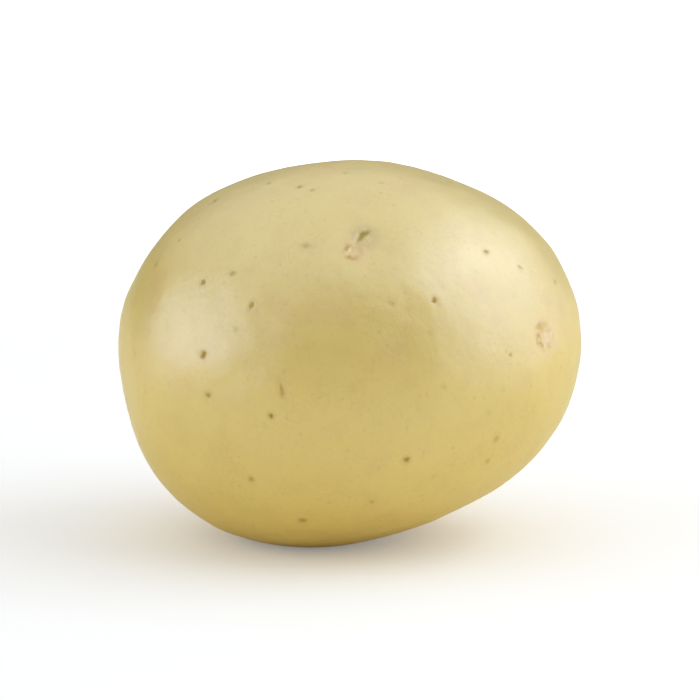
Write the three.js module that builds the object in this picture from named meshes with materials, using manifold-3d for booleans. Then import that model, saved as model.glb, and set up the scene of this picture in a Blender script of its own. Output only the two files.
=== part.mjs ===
// A small new potato, washed and ready to cook: one solid tuber lying on a small flat spot of its underside.
// Millimetres, +Z up. The stem end points along +X and the rose end along -X, and the origin is on the
// surface that the tuber lies on, under the middle of its box.
import * as THREE from "three";
import { mergeVertices } from "three/addons/utils/BufferGeometryUtils.js";
import Module from "manifold-3d";

// The body, along its own axes.
const LENGTH = 46.4; // stem end to rose end
const BREADTH = 41; // front to back
const THICKNESS = 38; // underside to top
const FULLNESS = 2.1; // 2 is an ellipsoid, and a higher power has fuller shoulders
const TAPER = 0.03; // share by which the rose end is thicker than the middle, and the stem end thinner
const LEAN = 9; // degrees by which the stem end lies higher than the rose end
const REST_DEPTH = 0.7; // how far the underside is flattened where it lies

// Broad swellings and flats. A place on the body is a direction from its middle, in degrees: "round" is 0 at
// the stem end, 90 at the back, 180 at the rose end and 270 at the front, and "up" is 90 at the top.
const SWELLS = [
  { name: "blunt rose end", round: 180, up: -10, height: -0.8, reach: 22 },
  { name: "low rose shoulder", round: 180, up: -50, height: 0.3, reach: 24 },
  { name: "sloping stem shoulder", round: 0, up: 56, height: -0.9, reach: 24 },
  { name: "low stem flat", round: 350, up: -62, height: -0.8, reach: 26 },
  { name: "back heel", round: 50, up: -70, height: 0.7, reach: 18 },
  { name: "front belly", round: 280, up: -12, height: 0.4, reach: 34 },
  { name: "back hip", round: 128, up: 6, height: 0.7, reach: 30 },
  { name: "back hollow", round: 62, up: 24, height: -0.6, reach: 24 },
  { name: "low back flat", round: 88, up: -42, height: -0.5, reach: 26 },
  { name: "top saddle", round: 110, up: 72, height: -0.3, reach: 22 },
];

// Eyes: shallow hollows where a bud sits, crowded towards the rose end.
const EYES = [
  { name: "front eye", round: 274, up: 43, width: 5, depth: 0.35 },
  { name: "crown eye", round: 168, up: 24, width: 6.2, depth: 0.75 },
  { name: "rose eye", round: 176, up: -26, width: 4.8, depth: 0.5 },
  { name: "shoulder eye", round: 128, up: 52, width: 5.4, depth: 0.55 },
  { name: "hip eye", round: 138, up: -14, width: 5.2, depth: 0.6 },
  { name: "back eye", round: 84, up: 12, width: 5.6, depth: 0.65 },
  { name: "low back eye", round: 108, up: -50, width: 4.8, depth: 0.5 },
  { name: "stem side eye", round: 38, up: -24, width: 4.6, depth: 0.45 },
  { name: "stem top eye", round: 40, up: 50, width: 4.4, depth: 0.4 },
];

// The round scar where the tuber hung from its stem.
const STEM_SCAR = { round: 330, up: 11, width: 3.6, depth: 0.3 };

const SPHERE_DETAIL = 19; // edges of about 1.2 mm on the finished skin
const SKIN = { color: 0xd9c58b, roughness: 0.45, metalness: 0 };

function directionOf({ round, up }) {
  const across = THREE.MathUtils.degToRad(round);
  const above = THREE.MathUtils.degToRad(up);
  return new THREE.Vector3(
    Math.cos(above) * Math.cos(across),
    Math.cos(above) * Math.sin(across),
    Math.sin(above),
  );
}

// The point of the plain leaning body that lies along a direction from its middle.
function bodyPoint(direction) {
  const leanAxis = new THREE.Vector3(0, 1, 0);
  const lean = THREE.MathUtils.degToRad(LEAN);
  const point = direction.clone().applyAxisAngle(leanAxis, lean);
  const share = [
    Math.abs(point.x) / (LENGTH / 2),
    Math.abs(point.y) / (BREADTH / 2),
    Math.abs(point.z) / (THICKNESS / 2),
  ];
  const sum = share.reduce((total, s) => total + s ** FULLNESS, 0);
  point.multiplyScalar(sum ** (-1 / FULLNESS));
  const thicker = 1 - (TAPER * point.x) / (LENGTH / 2);
  point.y *= thicker;
  point.z *= thicker;
  return point.applyAxisAngle(leanAxis, -lean);
}

// Moves every vertex of a skin in or out from its middle by what offsetAt gives for it.
function pushSkin(skin, offsetAt) {
  const places = skin.getAttribute("position");
  const point = new THREE.Vector3();
  for (let i = 0; i < places.count; i++) {
    point.fromBufferAttribute(places, i);
    point.setLength(point.length() + offsetAt(point));
    places.setXYZ(i, point.x, point.y, point.z);
  }
}

function plainSphere() {
  const sphere = new THREE.IcosahedronGeometry(1, SPHERE_DETAIL);
  sphere.deleteAttribute("normal");
  sphere.deleteAttribute("uv");
  return mergeVertices(sphere);
}

function bodySkin() {
  const skin = plainSphere();
  const places = skin.getAttribute("position");
  const direction = new THREE.Vector3();
  for (let i = 0; i < places.count; i++) {
    direction.fromBufferAttribute(places, i).normalize();
    const point = bodyPoint(direction);
    places.setXYZ(i, point.x, point.y, point.z);
  }
  const swells = SWELLS.map((s) => ({
    ...s,
    direction: directionOf(s),
    reach: THREE.MathUtils.degToRad(s.reach),
  }));
  pushSkin(skin, (point) =>
    swells.reduce(
      (sum, s) =>
        sum + s.height * Math.exp(-((point.angleTo(s.direction) / s.reach) ** 2)),
      0,
    ),
  );
  return skin;
}

// Puts the skin's middle at the origin, where the eyes' places are measured from, and returns the height at
// which the flat spot cuts its underside.
function centreSkin(skin) {
  const box = new THREE.Box3().setFromBufferAttribute(skin.getAttribute("position"));
  box.min.z += REST_DEPTH;
  const middle = box.getCenter(new THREE.Vector3());
  skin.translate(-middle.x, -middle.y, -middle.z);
  return box.min.z - middle.z;
}

// Where a ray from the origin meets the skin.
function pointOnSkin(skin, place) {
  const ray = new THREE.Raycaster(new THREE.Vector3(), directionOf(place));
  const inside = new THREE.MeshBasicMaterial({ side: THREE.DoubleSide });
  return ray.intersectObject(new THREE.Mesh(skin, inside))[0].point;
}

function pressHollows(skin, hollows) {
  const placed = hollows.map((h) => ({ ...h, centre: pointOnSkin(skin, h) }));
  pushSkin(skin, (point) =>
    placed.reduce(
      (sum, h) =>
        sum - h.depth * Math.exp(-((point.distanceTo(h.centre) / (h.width / 2)) ** 2)),
      0,
    ),
  );
}

// The part of the skin above a height, closed by a flat face.
function cutFlat(skin, height, wasm) {
  const solidOf = (geometry) =>
    new wasm.Manifold(
      new wasm.Mesh({
        numProp: 3,
        vertProperties: new Float32Array(geometry.getAttribute("position").array),
        triVerts: new Uint32Array(geometry.index.array),
      }),
    );
  const side = 2 * Math.max(LENGTH, BREADTH);
  const below = new THREE.BoxGeometry(side, side, side);
  below.deleteAttribute("normal");
  below.deleteAttribute("uv");
  below.translate(0, 0, height - side / 2);
  const left = solidOf(skin).subtract(solidOf(mergeVertices(below))).getMesh();
  const made = new THREE.BufferGeometry();
  made.setAttribute("position", new THREE.BufferAttribute(left.vertProperties, 3));
  made.setIndex(new THREE.BufferAttribute(left.triVerts, 1));
  return made;
}

const wasm = await Module();
wasm.setup();

const skin = bodySkin();
const restHeight = centreSkin(skin);
pressHollows(skin, [...EYES, STEM_SCAR]);

const tuber = cutFlat(skin, restHeight, wasm);
tuber.translate(0, 0, -restHeight);
tuber.computeVertexNormals();

const potato = new THREE.Mesh(tuber, new THREE.MeshStandardMaterial(SKIN));
potato.name = "potato";

const part = new THREE.Group();
part.add(potato);

export default part;
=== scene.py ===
"""The looks of one small washed new potato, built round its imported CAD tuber.

The skin is a fine mesh spread over the tuber and smoothed, with its pores, eyes and scabs pressed into it.
The same marks are handed to the skin's material, which colours them. Sizes of the marks are in millimetres,
and Blender's own units are metres. A place on the potato is a direction from the middle of its box, in
degrees: "round" is 0 at the stem end, 90 at the back, 180 at the rose end and 270 at the front, and "up" is
90 at the top.
"""

import math
import random

import bmesh
import bpy
import numpy as np
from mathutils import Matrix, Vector, noise
from mathutils.bvhtree import BVHTree


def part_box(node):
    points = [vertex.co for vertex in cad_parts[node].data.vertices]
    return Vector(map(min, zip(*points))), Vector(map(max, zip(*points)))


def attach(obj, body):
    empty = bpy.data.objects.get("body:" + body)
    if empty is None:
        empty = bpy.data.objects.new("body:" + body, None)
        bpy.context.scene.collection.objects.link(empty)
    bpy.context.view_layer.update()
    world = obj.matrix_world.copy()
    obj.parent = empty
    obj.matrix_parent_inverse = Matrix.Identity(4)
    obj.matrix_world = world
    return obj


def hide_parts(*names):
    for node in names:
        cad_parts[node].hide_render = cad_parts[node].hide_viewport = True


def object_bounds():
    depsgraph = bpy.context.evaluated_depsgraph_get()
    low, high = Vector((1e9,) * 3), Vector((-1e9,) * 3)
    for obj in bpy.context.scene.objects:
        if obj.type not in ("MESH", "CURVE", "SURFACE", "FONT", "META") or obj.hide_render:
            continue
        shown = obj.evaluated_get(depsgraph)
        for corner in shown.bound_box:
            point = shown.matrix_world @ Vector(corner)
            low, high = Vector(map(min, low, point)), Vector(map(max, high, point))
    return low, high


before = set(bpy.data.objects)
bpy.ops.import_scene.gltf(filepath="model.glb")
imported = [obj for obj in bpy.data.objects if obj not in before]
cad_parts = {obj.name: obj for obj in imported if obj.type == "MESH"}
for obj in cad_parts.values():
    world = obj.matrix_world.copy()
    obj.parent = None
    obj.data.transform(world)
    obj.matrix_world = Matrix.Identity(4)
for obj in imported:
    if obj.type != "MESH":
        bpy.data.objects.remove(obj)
cad_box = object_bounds()

MM = 0.001

# The skin mesh
CELLS = 128  # quads along each edge of the cube that the skin is spread from
DECIMALS = 6  # directions on the cube's sides that are alike to as many decimals are one
WELD = 0.001  # points of the tuber that are as close as this are one
ROUNDINGS = 2  # times that the tuber's facets are divided and rounded
SMOOTHINGS = 6  # passes that take out what is left of the facets
LENS = {"reach": 3.4, "pull": 0.45}  # how the grid is drawn in round each eye and scab, to be finer there
FLAT_EDGE = 1.5  # up to this height the marks and swells fade out, so that the flat spot stays flat

# Swells of the skin: how far it rises and falls, and over what distance
LUMPS = [
    {"height": 0.16, "width": 8.0},
    {"height": 0.07, "width": 3.2},
    {"height": 0.022, "width": 1.2},
]
LUMP_SHIFT = 31  # how far apart in the noise the swells of two widths are taken from

# Pores with a place of their own, on the side with the front eye. "long" stretches a pore along its turn,
# which is measured from the level line, anticlockwise as seen from outside.
PORES = [
    {"name": "rose shoulder", "round": 223, "up": 26, "size": 0.42, "strength": 0.9},
    {"name": "rose middle", "round": 230, "up": 8, "size": 0.5, "strength": 1.0},
    {"name": "rose middle low", "round": 232, "up": -2, "size": 0.5, "strength": 0.75},
    {"name": "small, under the nick", "round": 249, "up": -6, "size": 0.34, "strength": 1.0},
    {"name": "stem side of the eye", "round": 295, "up": 24, "size": 0.42, "strength": 0.95},
    {"name": "stem shoulder", "round": 319, "up": 35, "size": 0.44, "strength": 0.9},
    {"name": "low middle", "round": 286, "up": -19, "size": 0.44, "strength": 0.9},
    {"name": "low rose side", "round": 253, "up": -41, "size": 0.5, "strength": 0.8},
    {"name": "upright", "round": 241, "up": 22, "size": 0.3, "strength": 0.85, "long": 1.9, "turn": 80},
    {"name": "top pair, first", "round": 231, "up": 66, "size": 0.42, "strength": 0.8},
    {"name": "top pair, second", "round": 243, "up": 65, "size": 0.34, "strength": 0.6},
    {"name": "beside the rose shoulder", "round": 232, "up": 30, "size": 0.4, "strength": 0.6},
    {"name": "stem shoulder, soft", "round": 329, "up": 28, "size": 0.46, "strength": 0.5},
    {"name": "low rose shoulder", "round": 241, "up": -25, "size": 0.4, "strength": 0.6},
    {"name": "beside the scar", "round": 316, "up": 7, "size": 0.28, "strength": 0.6},
    {"name": "nick", "round": 252, "up": 1, "size": 0.34, "strength": 0.6, "long": 2.6, "turn": 100},
    {"name": "level streak", "round": 254, "up": 41.5, "size": 0.38, "strength": 0.45, "long": 2.0},
    {"name": "low stem side", "round": 313, "up": -15, "size": 0.46, "strength": 0.4},
    {"name": "low stem side, second", "round": 313, "up": -22, "size": 0.44, "strength": 0.4},
    {"name": "low front", "round": 277, "up": -34, "size": 0.4, "strength": 0.45},
    {"name": "below the eye", "round": 282, "up": 24, "size": 0.46, "strength": 0.35},
]
# A pore is a pit with a low rim. "rim" and "pit" are their widths in sizes of the pore.
PORE = {"rim": 1.5, "rim_height": 0.05, "pit": 0.8, "depth": 0.13}

# The rest are scattered, and take random values from these ranges and this list.
SCATTERED_PORES = 120
PORE_SIZES = (0.26, 0.5)
PORE_STRENGTHS = (0.15, 1)
FAINTER = 1.4  # the power that makes more of the strengths low
PORE_LONGS = [1, 1, 1, 1.5]
PORE_GAPS = (1.8, 3.6)  # how far it is at least to the nearest other mark
FRONT = -0.3  # a direction with a Y below this is on the front, whose strong pores are placed above
FRONT_STRENGTH = 0.25
SEED = 7

# Eyes, in the hollows of the tuber, each named for its place. "turn" is how the brow lies, measured as for
# the pores. The bud is on the side to which the brow curves.
EYES = [
    {"name": "front", "round": 275.5, "up": 45.5, "size": 0.9, "turn": 225, "strength": 0.78, "brow": 0.35},
    {"name": "crown", "round": 168, "up": 24, "size": 1.2, "turn": 100, "strength": 0.9, "brow": 1.0},
    {"name": "rose", "round": 176, "up": -26, "size": 0.9, "turn": 60, "strength": 0.7, "brow": 0.7},
    {"name": "shoulder", "round": 128, "up": 52, "size": 1.05, "turn": 75, "strength": 0.8, "brow": 0.9},
    {"name": "hip", "round": 138, "up": -14, "size": 1.0, "turn": 115, "strength": 0.7, "brow": 0.9},
    {"name": "back", "round": 84, "up": 12, "size": 1.2, "turn": 80, "strength": 0.85, "brow": 1.0},
    {"name": "low back", "round": 108, "up": -50, "size": 0.9, "turn": 95, "strength": 0.6, "brow": 0.6},
    {"name": "stem side", "round": 38, "up": -24, "size": 0.9, "turn": 105, "strength": 0.6, "brow": 0.7},
    {"name": "stem top", "round": 40, "up": 50, "size": 0.9, "turn": 60, "strength": 0.7, "brow": 0.8},
]
# A brow is a bowed ridge, with a crease under it and then the bud, all from the eye's middle and in sizes of
# the eye.
BROW = {"beside": -1.15, "length": 3.4, "width": 0.55, "height": 0.2, "bow": 0.11}
CREASE = {"beside": -0.3, "length": 0.95, "width": 0.36, "depth": 0.16, "bow": 0.2}
BUD = {"beside": 0.45, "size": 0.6, "height": 0.07}
EYE_THICKNESS = 3  # how far out of the skin and into it an eye fades out

# Scabs: a low broken ring round a sunk rough middle. The ring is darkest on the side that "turn" points to.
SCABS = [
    {"name": "stem scar", "round": 330, "up": 10, "size": 1.1, "turn": 195, "strength": 0.85},
    {"name": "under the front eye", "round": 271.5, "up": 40.5, "size": 0.78, "turn": 190, "strength": 0.9},
    {"name": "back, high", "round": 60, "up": 34, "size": 0.7, "turn": 60, "strength": 0.8},
    {"name": "back, low", "round": 120, "up": -34, "size": 0.8, "turn": 300, "strength": 0.6},
    {"name": "stem end, low", "round": 8, "up": -12, "size": 0.6, "turn": 120, "strength": 0.6},
]
# In sizes of the scab, and "rough" is how much of the corky roughness a scab has
SCAB = {"ring": 1.0, "ring_width": 0.45, "ring_height": 0.05, "hollow": 0.8, "depth": 0.07, "rough": 0.55}

# The rough corky skin in eyes and scabs
CORK = {"height": 0.12, "width": 0.5, "reach": 1.3}
CORK_LEAST = 0.01  # where less than this share of it is left, there is none


def direction_of(place):
    across = math.radians(place["round"])
    above = math.radians(place["up"])
    return np.array([
        math.cos(above) * math.cos(across),
        math.cos(above) * math.sin(across),
        math.sin(above),
    ])


# ---------------------------------------------------------------- the skin's mesh


def ball_grid(cells):
    """Directions spread over a ball, and the quads that join them: a cube's grid blown up."""
    line = np.tan(np.linspace(-math.pi / 4, math.pi / 4, cells + 1))
    a, b = np.meshgrid(line, line, indexing="ij")
    one = np.ones_like(a)
    sides = [(one, a, b), (-one, b, a), (b, one, a), (a, -one, b), (a, b, one), (b, a, -one)]
    points = np.concatenate([np.stack(side, -1).reshape(-1, 3) for side in sides])
    points /= np.linalg.norm(points, axis=1)[:, None]
    row = cells + 1
    corner = (np.arange(cells)[:, None] * row + np.arange(cells)).ravel()
    quads = np.stack([corner, corner + row, corner + row + 1, corner + 1], 1)
    quads = np.concatenate([quads + side * row * row for side in range(len(sides))])
    _, first, shared = np.unique(np.round(points, DECIMALS), axis=0, return_index=True, return_inverse=True)
    return points[first], shared.reshape(-1)[quads]


def drawn_in(directions, places, radius):
    """The directions with those round each place drawn in towards it."""
    for place in places:
        towards = direction_of(place)
        gap = towards - directions
        distance = np.linalg.norm(gap, axis=1) * radius / MM
        directions = directions + gap * (LENS["pull"] * bell(distance, LENS["reach"]))[:, None]
        directions /= np.linalg.norm(directions, axis=1)[:, None]
    return directions


def smoothed_tuber(node):
    """What rays meet on a copy of the CAD tuber with its facets rounded off."""
    mesh = bmesh.new()
    mesh.from_mesh(node.data)
    bmesh.ops.remove_doubles(mesh, verts=mesh.verts, dist=WELD * MM)
    copy_data = bpy.data.meshes.new("rounded")
    mesh.to_mesh(copy_data)
    mesh.free()
    copy = bpy.data.objects.new("rounded", copy_data)
    bpy.context.scene.collection.objects.link(copy)
    copy.modifiers.new("rounding", "SUBSURF").levels = ROUNDINGS
    bpy.context.view_layer.update()
    tree = BVHTree.FromObject(copy, bpy.context.evaluated_depsgraph_get())
    bpy.data.objects.remove(copy)
    bpy.data.meshes.remove(copy_data)
    return tree


def spread_over(tree, middle, directions):
    """Where each direction from the middle meets the tuber."""
    start = Vector(middle)
    return np.array([tree.ray_cast(start, Vector(d))[0] for d in directions])


def normals_of(points, quads):
    """The outward normal at each point, from the quads that meet there."""
    a, b, c, d = (points[quads[:, i]] for i in range(4))
    face = np.cross(c - a, d - b)
    total = np.zeros_like(points)
    for i in range(4):
        np.add.at(total, quads[:, i], face)
    return total / np.linalg.norm(total, axis=1)[:, None]


def smoothed(points, quads, passes):
    """Each point moved halfway to the mean of its neighbours, some number of times."""
    ends = np.concatenate([quads[:, [i, (i + 1) % 4]] for i in range(4)])
    count = np.bincount(ends[:, 0], minlength=len(points))[:, None]
    for _ in range(passes):
        total = np.zeros_like(points)
        np.add.at(total, ends[:, 0], points[ends[:, 1]])
        points = (points + total / count) / 2
    return points


def lumps_at(points):
    """How far the skin's own swells push it out, in metres."""
    height = np.zeros(len(points))
    for i, lump in enumerate(LUMPS):
        scaled = points / (lump["width"] * MM) + LUMP_SHIFT * i
        height += lump["height"] * MM * np.array([noise.noise(Vector(p)) for p in scaled])
    return height


def frame_at(tree, middle, place):
    """A mark's centre on the skin, and three directions: along the mark, beside it and out of the skin."""
    centre, normal, *_ = tree.ray_cast(Vector(middle), Vector(direction_of(place)))
    level = Vector((0, 0, 1)).cross(normal).normalized()
    turn = math.radians(place.get("turn", 0))
    above = normal.cross(level)
    along = level * math.cos(turn) + above * math.sin(turn)
    return np.array(centre), np.array([along, normal.cross(along), normal])


def offsets_from(mark_frame, points):
    """Each point as millimetres along, beside and out of a mark."""
    centre, axes = mark_frame
    return (points - centre) @ axes.T / MM


def bell(distance, width):
    return np.exp(-((distance / width) ** 2))


def pore_relief(offsets, pore):
    """A low rim round a small pit, in millimetres."""
    long = pore.get("long", 1)
    distance = np.sqrt((offsets[:, 0] / long) ** 2 + offsets[:, 1] ** 2 + offsets[:, 2] ** 2)
    rim = PORE["rim_height"] * bell(distance, PORE["rim"] * pore["size"])
    pit = PORE["depth"] * bell(distance, PORE["pit"] * pore["size"])
    return pore["strength"] * (rim - pit)


def cork_at(offsets, mark):
    """The corky skin's roughness round the middle of a mark, in millimetres."""
    near = bell(np.linalg.norm(offsets, axis=1) / mark["size"], CORK["reach"])
    rough = np.zeros(len(offsets))
    for i in np.flatnonzero(near > CORK_LEAST):
        rough[i] = noise.noise(Vector(offsets[i] / CORK["width"] + mark["round"]))
    return CORK["height"] * near * rough


def eye_relief(offsets, eye):
    """A brow, a crease under it and a bud, in millimetres."""
    along, beside, out = (offsets / eye["size"]).T
    brow = bell(along, BROW["length"]) * bell(beside - BROW["beside"] - BROW["bow"] * along**2, BROW["width"])
    crease = bell(along, CREASE["length"])
    crease *= bell(beside - CREASE["beside"] - CREASE["bow"] * along**2, CREASE["width"])
    bud = bell(np.hypot(along, beside - BUD["beside"]), BUD["size"])
    height = BROW["height"] * eye["brow"] * brow - CREASE["depth"] * crease + BUD["height"] * bud
    return eye["strength"] * eye["size"] * (bell(out, EYE_THICKNESS) * height + cork_at(offsets, eye))


def scab_relief(offsets, scab):
    """A low ring round a sunk middle, in millimetres."""
    distance = np.linalg.norm(offsets, axis=1) / scab["size"]
    ring = SCAB["ring_height"] * bell(distance - SCAB["ring"], SCAB["ring_width"])
    hollow = SCAB["depth"] * bell(distance, SCAB["hollow"])
    height = ring - hollow + SCAB["rough"] * cork_at(offsets, scab)
    return scab["strength"] * scab["size"] * height


def scattered_pores(tree, middle, taken, rest_height):
    """Pores at random places, clear of each other, of the placed marks and of the flat spot."""
    dice = random.Random(SEED)
    pores, centres = [], [frame_at(tree, middle, mark)[0] for mark in taken]
    while len(pores) < SCATTERED_PORES:
        place = {
            "round": dice.uniform(0, 360),
            "up": math.degrees(math.asin(dice.uniform(-1, 1))),
            "size": dice.uniform(*PORE_SIZES),
            "strength": dice.uniform(*PORE_STRENGTHS) ** FAINTER,
            "long": dice.choice(PORE_LONGS),
            "turn": dice.uniform(0, 180),
        }
        centre = frame_at(tree, middle, place)[0]
        gap = dice.uniform(*PORE_GAPS) * MM
        if centre[2] < rest_height or min(np.linalg.norm(centres - centre, axis=1)) < gap:
            continue
        if direction_of(place)[1] < FRONT:
            place["strength"] *= FRONT_STRENGTH
        centres.append(centre)
        pores.append(place)
    return pores


def corner_offsets(points, quads, frames, sizes):
    """For each corner of each quad, its offset from the mark nearest the quad, and which mark that is.

    A quad's corners all measure from one mark, so that the offset runs straight across the quad.
    """
    middles = points[quads].mean(1)
    distance = np.stack([np.linalg.norm(middles - centre, axis=1) for centre, _ in frames])
    nearest = distance.argmin(0)
    centres = np.array([centre for centre, _ in frames])[nearest]
    axes = np.array([axes for _, axes in frames])[nearest]
    offsets = np.einsum("qci,qji->qcj", points[quads] - centres[:, None], axes) / MM
    return offsets / np.array(sizes)[nearest][:, None], nearest


def keep_on_corners(mesh, name, kind, values):
    """Stores values on the mesh's face corners under a name that a material can read."""
    layer = mesh.attributes.new(name, kind, "CORNER")
    field = "vector" if kind == "FLOAT_VECTOR" else "value"
    layer.data.foreach_set(field, np.ascontiguousarray(values, np.float32).ravel())


def keep_marks(mesh, name, points, quads, marks, frames):
    """Hands a kind of mark to the material: the offsets from the nearest one, and how strong that one is."""
    sizes = [[mark["size"] * mark.get("long", 1), mark["size"], mark["size"]] for mark in marks]
    offsets, nearest = corner_offsets(points, quads, frames, sizes)
    strengths = np.array([mark["strength"] for mark in marks])[nearest]
    keep_on_corners(mesh, name, "FLOAT_VECTOR", offsets)
    keep_on_corners(mesh, name + "_strength", "FLOAT", np.repeat(strengths, 4))


def relief_at(points, marks, frames):
    """How far all the marks push the skin out, in metres."""
    relief_of = {"pore": pore_relief, "eye": eye_relief, "scab": scab_relief}
    height = np.zeros(len(points))
    for kind in marks:
        for mark, mark_frame in zip(marks[kind], frames[kind]):
            height += MM * relief_of[kind](offsets_from(mark_frame, points), mark)
    return height


def make_skin(node):
    low, high = (np.array(corner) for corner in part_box(node.name))
    middle = (low + high) / 2
    tree = smoothed_tuber(node)
    directions, quads = ball_grid(CELLS)
    directions = drawn_in(directions, EYES + SCABS, (high - low).mean() / 2)
    bare = smoothed(spread_over(tree, middle, directions), quads, SMOOTHINGS)

    scattered = scattered_pores(tree, middle, EYES + SCABS + PORES, low[2] + FLAT_EDGE * MM)
    marks = {"pore": PORES + scattered, "eye": EYES, "scab": SCABS}
    frames = {kind: [frame_at(tree, middle, mark) for mark in marks[kind]] for kind in marks}
    clear_of_floor = np.clip((bare[:, 2] - low[2]) / (FLAT_EDGE * MM), 0, 1)
    height = (lumps_at(bare) + relief_at(bare, marks, frames)) * clear_of_floor
    points = bare + normals_of(bare, quads) * height[:, None]
    points[:, 2] = np.maximum(points[:, 2], low[2])

    mesh = bpy.data.meshes.new("skin")
    mesh.from_pydata(points.tolist(), [], quads.tolist())
    mesh.polygons.foreach_set("use_smooth", [True] * len(mesh.polygons))
    for kind in marks:
        keep_marks(mesh, kind, bare, quads, marks[kind], frames[kind])
    mesh.validate()

    skin = bpy.data.objects.new("tuber_skin", mesh)
    bpy.context.scene.collection.objects.link(skin)
    return skin


# ---------------------------------------------------------------- materials


class Shader:
    """A material's node tree. Each call adds nodes and returns the socket that holds the result."""

    def __init__(self, owner):
        owner.use_nodes = True
        self.tree = owner.node_tree
        self.tree.nodes.clear()

    def add(self, kind, inputs=(), output=0, **settings):
        node = self.tree.nodes.new(kind)
        for name, value in settings.items():
            setattr(node, name, value)
        for name, value in dict(inputs).items():
            if isinstance(value, bpy.types.NodeSocket):
                self.tree.links.new(value, node.inputs[name])
            else:
                node.inputs[name].default_value = value
        return node.outputs[output] if node.outputs else None

    def calc(self, operation, *values):
        return self.add("ShaderNodeMath", dict(enumerate(values)), operation=operation)

    def times(self, first, *others):
        """The product of some values."""
        for other in others:
            first = self.calc("MULTIPLY", first, other)
        return first

    def between(self, low, high, share):
        """A value from low to high, by a share from 0 to 1."""
        return self.add("ShaderNodeMix", {"Factor": share, 2: low, 3: high})

    def vector_calc(self, operation, *vectors):
        return self.add("ShaderNodeVectorMath", dict(enumerate(vectors)), operation=operation)

    def scaled(self, vector, by):
        return self.add("ShaderNodeVectorMath", {0: vector, "Scale": by}, operation="SCALE")

    def length(self, vector):
        return self.add("ShaderNodeVectorMath", {0: vector}, output="Value", operation="LENGTH")

    def split(self, vector):
        """The three parts of a vector."""
        return self.add("ShaderNodeSeparateXYZ", {"Vector": vector}).node.outputs

    def noise(self, where, width, detail=2.0, roughness=0.5, distortion=0.0):
        """Noise from 0 to 1 whose patches are about a width in millimetres across."""
        settings = {"Vector": where, "Scale": 1 / (width * MM), "Detail": detail}
        settings |= {"Roughness": roughness, "Distortion": distortion}
        return self.add("ShaderNodeTexNoise", settings)

    def fade(self, value, start, end):
        """0 where the value is at the start or before it, and 1 at the end or past it."""
        ends = {"Value": value, "From Min": start, "From Max": end}
        return self.add("ShaderNodeMapRange", ends, interpolation_type="SMOOTHSTEP")

    def patches(self, where, look):
        """1 in patches of noise and 0 between them."""
        return self.fade(self.noise(where, **look["noise"]), *look["levels"])

    def lay(self, below, above, *shares):
        """A colour laid over another, by the product of some shares from 0 to 1."""
        inputs = {"Factor": self.times(*shares), 6: below, 7: above}
        return self.add("ShaderNodeMix", inputs, output=2, data_type="RGBA")

    def stored(self, name, vector=True):
        """What the mesh keeps under a name."""
        return self.add("ShaderNodeAttribute", output=1 if vector else 2, attribute_name=name)


def colour(red, green, blue):
    """A colour given as it shows on screen, from 0 to 255, as the linear one that shaders take."""
    def linear(value):
        share = value / 255
        return share / 12.92 if share <= 0.04045 else ((share + 0.055) / 1.055) ** 2.4

    return (linear(red), linear(green), linear(blue), 1)


SKIN = colour(235, 205, 70)
CREAM = colour(237, 211, 90)
OLIVE = colour(227, 201, 60)
TAN = colour(214, 172, 60)
PINK = colour(230, 180, 76)
SPECK = colour(208, 166, 44)
# painted shade: the deeper olive-yellow that darkens each eye's hollow
HOLLOW_SHADE = colour(198, 168, 20)
PORE_EDGE = colour(208, 172, 40)
PORE_HEART = colour(132, 102, 0)
# painted shade: the darker band along the walls of each eye's crease
CREASE_RIM_SHADE = colour(194, 162, 24)
# the eye's own dark tissue in the crease's line, with painted shade of the crease
CREASE_TISSUE_AND_SHADE = colour(138, 114, 0)
SCAB_BROWN = colour(176, 124, 8)
# painted highlight: the paler yellow that lights up each eye's raised bud
BUD_HIGHLIGHT = colour(242, 218, 104)

# The clean skin's colours, from the lowest layer up. A layer of patches starts to show where its noise is at
# the first of its levels, and it is at its full share from the second.
PATCHES = [
    {"colour": CREAM, "noise": {"width": 14, "detail": 2}, "levels": (0.35, 0.7), "share": 0.6},
    {"colour": OLIVE, "noise": {"width": 9, "detail": 3}, "levels": (0.45, 0.8), "share": 0.5},
    {
        "colour": TAN,
        "noise": {"width": 2.6, "detail": 4, "roughness": 0.6},
        "levels": (0.45, 0.75),
        "share": 0.2,
    },
    {
        "colour": PINK,
        "noise": {"width": 6.5, "detail": 2, "distortion": 0.5},
        "levels": (0.54, 0.75),
        "share": 0.3,
    },
]
# Cracks show in the cracked patches. "bend" is a share of their gap, and "solid" one of the dots' size.
CRACKED = {"noise": {"width": 5, "detail": 2}, "levels": (0.45, 0.7)}
CRACKS = {"colour": TAN, "gap": 0.9, "width": 0.12, "bend": 0.9, "share": 0.22}
SPECKS = {
    "colour": SPECK,
    "noise": {"width": 0.4, "detail": 3, "roughness": 0.6},
    "levels": (0.55, 0.75),
    "share": 0.3,
}
DOTS = {"colour": PORE_EDGE, "gap": 1.5, "size": 0.3, "solid": 0.25, "share": 0.5}

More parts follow.
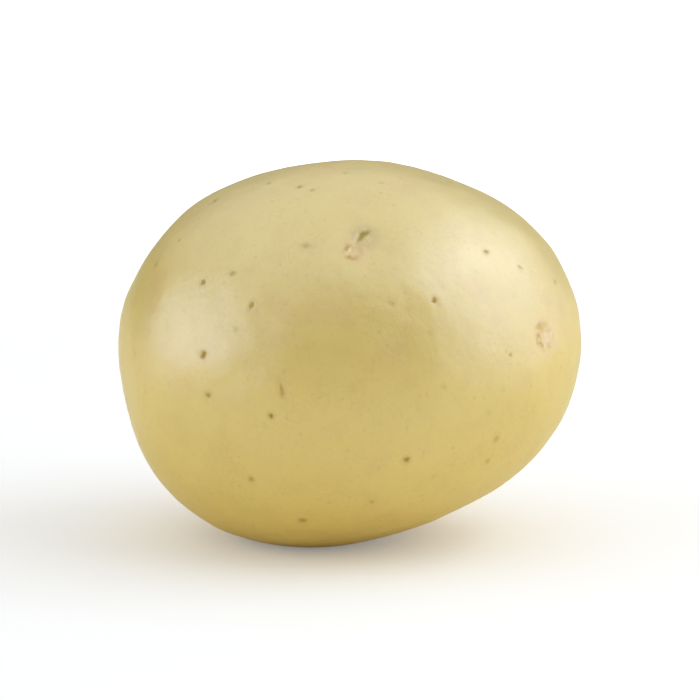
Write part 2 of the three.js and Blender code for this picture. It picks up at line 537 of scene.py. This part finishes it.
# The marks' colours, in the eyes with painted shade in the hollow and crease and a painted highlight on the
# bud. A layer fades in between two distances from the mark's middle or line, in sizes of the mark. RAGGED is
# how far each kind of mark is pushed out of shape, also in its sizes.
RAGGED = {"pore": 1.6, "eye": 0.9, "scab": 0.6}
WARP = {"width": 0.7, "detail": 3}
PORE_LOOK = {
    "edge": {"colour": PORE_EDGE, "fade": (2.0, 0.5), "share": 0.65},
    "heart": {"colour": PORE_HEART, "fade": (1.0, 0.2), "share": 0.5},
}
EYE_LOOK = {
    # painted shade in the eye's hollow, darkest at its middle
    "hollow": {"colour": HOLLOW_SHADE, "fade": (2.6, 0.5), "share": 0.7},
    # painted highlight on the raised bud
    "bud": {"colour": BUD_HIGHLIGHT, "fade": (0.8, 0.2), "share": 0.5},
    "grains": {"colour": SCAB_BROWN, "fade": (1.9, 0.5), "share": 0.35},
    # painted shade along the crease's walls, and in its line the eye's dark tissue with painted shade
    "rim": {"colour": CREASE_RIM_SHADE, "fade": (1.1, 0.1), "share": 0.6},
    "crease": {"colour": CREASE_TISSUE_AND_SHADE, "fade": (0.45, 0.0), "share": 0.6},
}
CREASE_ENDS = (1.4, 0.4)  # the distances along the crease between which it fades in
SCAB_LOOK = {
    "blush": {"colour": PINK, "fade": (3.0, 0.6), "share": 0.4},
    "grains": {"colour": SCAB_BROWN, "fade": (1.7, 0.4), "share": 0.28},
    "ring": {"colour": SCAB_BROWN, "fade": (0.6, 0.05), "share": 1.0},
}
RING_SIDES = {"fade": (-0.9, 0.9), "light": 0.1, "dark": 0.7}  # from the ring's light side to its dark one
RING_BREAKS = {"noise": {"width": 0.8, "detail": 2}, "levels": (0.3, 0.6)}
EYE_GRAINS = {"noise": {"width": 0.3, "detail": 3, "roughness": 0.6}, "levels": (0.45, 0.65)}
SCAB_GRAINS = {"noise": {"width": 0.3, "detail": 3, "roughness": 0.6}, "levels": (0.42, 0.65)}

# What the bump adds to the mesh, in millimetres: the skin's own grain, and the middle of each mark
GRAINS = [
    {"height": 0.05, "noise": {"width": 2.2, "detail": 2}},
    {"height": 0.035, "noise": {"width": 0.8, "detail": 3}},
    {"height": 0.014, "noise": {"width": 0.28, "detail": 3, "roughness": 0.6}},
]
BUMPS = {"crack": -0.006, "pore": -0.06, "crease": -0.05, "ring": 0.03}

# Gloss. Marks are rougher, and their coat and the tint of their shine are lower.
ROUGHNESS = {"least": 0.36, "uneven": 0.14, "marked": 0.3}
UNEVEN = {"width": 1.4, "detail": 3}
COAT_LOST = 0.9  # by a mark
CLEAN_SHINE = (1, 1, 1, 1)
MARKED_SHINE = (0.12, 0.1, 0.06, 1)


def warped(shader, place, where, by):
    """Coordinates pushed about, so that what is drawn in them is ragged."""
    settings = {"Vector": where, "Scale": 1 / (WARP["width"] * MM), "Detail": WARP["detail"]}
    push = shader.add("ShaderNodeTexNoise", settings, output="Color")
    centred = shader.vector_calc("SUBTRACT", push, (0.5, 0.5, 0.5))
    return shader.vector_calc("ADD", place, shader.scaled(centred, by))


def dots(shader, where):
    """Small dots of many strengths, up to 1 in their middles, and 0 between them."""
    cells = shader.add("ShaderNodeTexVoronoi", {"Vector": where, "Scale": 1 / (DOTS["gap"] * MM)}).node
    strength, *_ = shader.split(cells.outputs["Color"])
    reach = DOTS["size"] / DOTS["gap"]
    return shader.times(shader.fade(cells.outputs["Distance"], reach, DOTS["solid"] * reach), strength)


def cracks_at(shader, where):
    """1 on the lines of a fine net of cracks, which shows in patches, and 0 off them."""
    bent = warped(shader, where, where, CRACKS["bend"] * CRACKS["gap"] * MM)
    settings = {"Vector": bent, "Scale": 1 / (CRACKS["gap"] * MM)}
    edge = shader.add("ShaderNodeTexVoronoi", settings, feature="DISTANCE_TO_EDGE")
    net = shader.fade(edge, CRACKS["width"] / CRACKS["gap"], 0)
    return shader.times(net, shader.patches(where, CRACKED))


def ground_colour(shader, where, cracks):
    """Cream, yellow and olive patches, faint tan and pink ones, fine cracks, specks and dots."""
    ground = SKIN
    for look in PATCHES:
        ground = shader.lay(ground, look["colour"], shader.patches(where, look), look["share"])
    ground = shader.lay(ground, CRACKS["colour"], cracks, CRACKS["share"])
    ground = shader.lay(ground, SPECKS["colour"], shader.patches(where, SPECKS), SPECKS["share"])
    return shader.lay(ground, DOTS["colour"], dots(shader, where), DOTS["share"])


def mark_at(shader, where, kind):
    """The place in the nearest mark, made ragged, the distance from its middle, and how strong it is."""
    place = warped(shader, shader.stored(kind), where, RAGGED[kind])
    return place, shader.length(place), shader.stored(kind + "_strength", vector=False)


def layer(shader, ground, look, distance, *shares):
    """Returns the colour with one layer of a mark on it, and how far in the layer each point is."""
    inside = shader.times(shader.fade(distance, *look["fade"]), *shares)
    return shader.lay(ground, look["colour"], inside, look["share"]), inside


def paint_pores(shader, where, ground):
    """Returns the colour with the pores on it, and how deep in a pore each point is."""
    _, distance, strength = mark_at(shader, where, "pore")
    ground, _ = layer(shader, ground, PORE_LOOK["edge"], distance, strength)
    return layer(shader, ground, PORE_LOOK["heart"], distance, strength)


def off_crease(shader, place):
    """How far each point is from the bowed line of the crease, and how far along it."""
    along, beside, _ = shader.split(place)
    line = shader.calc("ADD", shader.times(along, along, CREASE["bow"]), CREASE["beside"])
    return shader.calc("ABSOLUTE", shader.calc("SUBTRACT", beside, line)), shader.calc("ABSOLUTE", along)


def paint_eyes(shader, where, ground):
    """Returns the colour with the eyes on it, with painted shade in their hollows and creases and a painted
    highlight on their buds, and how deep in a crease each point is.
    """
    place, distance, strength = mark_at(shader, where, "eye")
    off_bud = shader.length(shader.vector_calc("SUBTRACT", place, (0, BUD["beside"], 0)))
    off_line, along = off_crease(shader, place)
    near_line = shader.times(shader.fade(along, *CREASE_ENDS), strength)
    grains = shader.patches(where, EYE_GRAINS)
    # painted shade in the hollow, then a painted highlight on the bud, the eye's own grains, and painted
    # shade along the crease
    ground, _ = layer(shader, ground, EYE_LOOK["hollow"], distance, strength)
    # painted highlight on the bud
    ground, _ = layer(shader, ground, EYE_LOOK["bud"], off_bud, strength)
    ground, _ = layer(shader, ground, EYE_LOOK["grains"], distance, strength, grains)
    # painted shade along the crease, and the eye's dark tissue with painted shade in its line
    ground, _ = layer(shader, ground, EYE_LOOK["rim"], off_line, near_line)
    return layer(shader, ground, EYE_LOOK["crease"], off_line, near_line)


def paint_scabs(shader, where, ground):
    """Returns the colour with the scabs on it, and how far on a scab's ring each point is."""
    place, distance, strength = mark_at(shader, where, "scab")
    towards_dark, *_ = shader.split(place)
    off_ring = shader.calc("ABSOLUTE", shader.calc("SUBTRACT", distance, SCAB["ring"]))
    side = shader.fade(towards_dark, *RING_SIDES["fade"])
    side = shader.between(RING_SIDES["light"], RING_SIDES["dark"], side)
    grains = shader.patches(where, SCAB_GRAINS)
    breaks = shader.patches(where, RING_BREAKS)
    ground, _ = layer(shader, ground, SCAB_LOOK["blush"], distance, strength)
    ground, _ = layer(shader, ground, SCAB_LOOK["grains"], distance, strength, grains)
    return layer(shader, ground, SCAB_LOOK["ring"], off_ring, side, breaks, strength)


def skin_bump(shader, where, marks):
    """The normal, with the skin's grain and the marks in it."""
    heights = [shader.times(shader.noise(where, **grain["noise"]), grain["height"]) for grain in GRAINS]
    heights += [shader.times(amount, BUMPS[kind]) for kind, amount in marks.items()]
    height = heights[0]
    for more in heights[1:]:
        height = shader.calc("ADD", height, more)
    return shader.add("ShaderNodeBump", {"Height": height, "Strength": 1.0, "Distance": MM})


def skin_roughness(shader, where, marked):
    uneven = shader.times(shader.noise(where, **UNEVEN), ROUGHNESS["uneven"])
    clean = shader.calc("ADD", uneven, ROUGHNESS["least"])
    return shader.calc("ADD", clean, shader.times(marked, ROUGHNESS["marked"]))


def skin_material():
    material = bpy.data.materials.new("potato_skin_look")
    shader = Shader(material)
    where = shader.add("ShaderNodeTexCoord", output="Object")
    cracks = cracks_at(shader, where)
    ground = ground_colour(shader, where, cracks)
    ground, pore = paint_pores(shader, where, ground)
    ground, crease = paint_eyes(shader, where, ground)
    ground, ring = paint_scabs(shader, where, ground)
    marked = shader.calc("MAXIMUM", shader.calc("MAXIMUM", pore, crease), ring)
    skin = shader.add("ShaderNodeBsdfPrincipled", {
        "Base Color": ground,
        "Roughness": skin_roughness(shader, where, marked),
        "IOR": 1.8,
        "Specular IOR Level": 1.0,
        "Specular Tint": shader.lay(CLEAN_SHINE, MARKED_SHINE, marked),
        "Normal": skin_bump(shader, where, {"crack": cracks, "pore": pore, "crease": crease, "ring": ring}),
        "Subsurface Weight": 0.35,
        "Subsurface Radius": (1.0, 0.62, 0.22),
        "Subsurface Scale": 2.2 * MM,
        "Coat Weight": shader.calc("SUBTRACT", 1.0, shader.times(marked, COAT_LOST)),
        "Coat IOR": 2.1,
        "Coat Roughness": 0.4,
    })
    shader.add("ShaderNodeOutputMaterial", {"Surface": skin})
    return material


# ---------------------------------------------------------------- studio

FLOOR_SIDE = 6.0
FLOOR_WHITE_FROM, FLOOR_WHITE_AT = 0.02, 0.30  # how far from the potato the floor turns to a white sweep
FLOOR_GLOW = 0.2  # the least that it shines by itself to the eye
FLOOR_COLOUR = (0.92, 0.91, 0.85, 1)  # to the eye
FLOOR_BOUNCE = (0.9, 0.83, 0.58, 1)  # to the light that it sends back up, as a heap of potatoes would
WORLD_FRONT, WORLD_BACK, WORLD_TOP = 0.30, 0.2, 0.42
FRONT_TO_BACK = (-0.9, 0.3)  # the Y of a direction between which the world's front turns into its back
SIDE_TO_TOP = (0.35, 0.95)  # the Z of a direction between which its sides turn into its top
CAMERA_UP = 12  # degrees that the camera looks down
FOCAL_LENGTH = 300
CAMERA_REACH = 20
SHARE_OF_FRAME = 0.66  # how much of the frame's width the potato takes
# Soft lights, each with the direction that it shines from
SOFTBOXES = [
    {"name": "right", "from": (0.93, -0.16, 0.40), "wide": 0.60, "high": 0.85, "power": 1.95},
    {"name": "left", "from": (-0.97, -0.26, 0.15), "wide": 0.62, "high": 0.52, "power": 1.25},
    {"name": "right_rim", "from": (0.78, 0.55, 0.32), "wide": 0.40, "high": 0.60, "power": 0.38},
    {"name": "above", "from": (0.0, 0.3, 1.0), "wide": 1.2, "high": 1.2, "power": 1.9},
]
SOFTBOX_COLOUR = (0.95, 1.0, 1.16)
SOFTBOX_DISTANCE = 0.5


def make_floor():
    data = bpy.data.meshes.new("floor")
    half = FLOOR_SIDE / 2
    corners = [(-half, -half, 0), (half, -half, 0), (half, half, 0), (-half, half, 0)]
    data.from_pydata(corners, [], [(0, 1, 2, 3)])
    floor = bpy.data.objects.new("floor", data)
    bpy.context.scene.collection.objects.link(floor)
    material = bpy.data.materials.new("floor_white")
    shader = Shader(material)
    where = shader.add("ShaderNodeTexCoord", output="Object")
    far = shader.fade(shader.length(where), FLOOR_WHITE_FROM, FLOOR_WHITE_AT)
    seen = shader.add("ShaderNodeLightPath", output="Is Camera Ray")
    strength = shader.calc("MULTIPLY", seen, shader.calc("MAXIMUM", far, FLOOR_GLOW))
    matte = shader.add("ShaderNodeBsdfDiffuse", {"Color": shader.lay(FLOOR_BOUNCE, FLOOR_COLOUR, seen)})
    glow = shader.add("ShaderNodeEmission", {"Color": (1, 1, 1, 1), "Strength": strength})
    both = shader.add("ShaderNodeAddShader", {0: matte, 1: glow})
    shader.add("ShaderNodeOutputMaterial", {"Surface": both})
    data.materials.append(material)


def make_softbox(box, target):
    light = bpy.data.lights.new(box["name"] + "_softbox", "AREA")
    light.shape = "RECTANGLE"
    light.size = box["wide"]
    light.size_y = box["high"]
    light.energy = box["power"]
    light.color = SOFTBOX_COLOUR
    holder = bpy.data.objects.new(light.name, light)
    towards = Vector(box["from"]).normalized()
    holder.location = target + towards * SOFTBOX_DISTANCE
    holder.rotation_mode = "QUATERNION"
    holder.rotation_quaternion = (-towards).to_track_quat("-Z", "Y")
    holder.visible_camera = False
    bpy.context.scene.collection.objects.link(holder)


def make_world():
    """White all round to the eye. As light it is brightest from the top and dimmest from the back."""
    world = bpy.data.worlds.new("studio")
    bpy.context.scene.world = world
    shader = Shader(world)
    where = shader.add("ShaderNodeTexCoord", output="Generated")
    _, back, up = shader.split(where)
    level = shader.between(WORLD_FRONT, WORLD_BACK, shader.fade(back, *FRONT_TO_BACK))
    lit = shader.between(level, WORLD_TOP, shader.fade(up, *SIDE_TO_TOP))
    seen = shader.add("ShaderNodeLightPath", output="Is Camera Ray")
    strength = shader.between(lit, 1.0, seen)
    light = shader.add("ShaderNodeBackground", {"Color": (1, 1, 1, 1), "Strength": strength})
    shader.add("ShaderNodeOutputWorld", {"Surface": light})


def make_camera(low, high):
    target = (low + high) / 2
    camera = bpy.data.cameras.new("camera")
    camera.lens = FOCAL_LENGTH
    camera.clip_end = CAMERA_REACH
    holder = bpy.data.objects.new("camera", camera)
    bpy.context.scene.collection.objects.link(holder)
    up = math.radians(CAMERA_UP)
    back = Vector((0, -math.cos(up), math.sin(up)))
    view_width = (high.x - low.x) / SHARE_OF_FRAME
    holder.location = target + back * (view_width * FOCAL_LENGTH / camera.sensor_width)
    holder.rotation_mode = "QUATERNION"
    holder.rotation_quaternion = (-back).to_track_quat("-Z", "Y")
    bpy.context.scene.camera = holder


skin = make_skin(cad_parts["potato"])
skin.data.materials.append(skin_material())
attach(skin, "root")
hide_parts("potato")

make_floor()
make_world()
for box in SOFTBOXES:
    make_softbox(box, (cad_box[0] + cad_box[1]) / 2)
make_camera(*cad_box)
bpy.context.scene.view_settings.view_transform = "Standard"
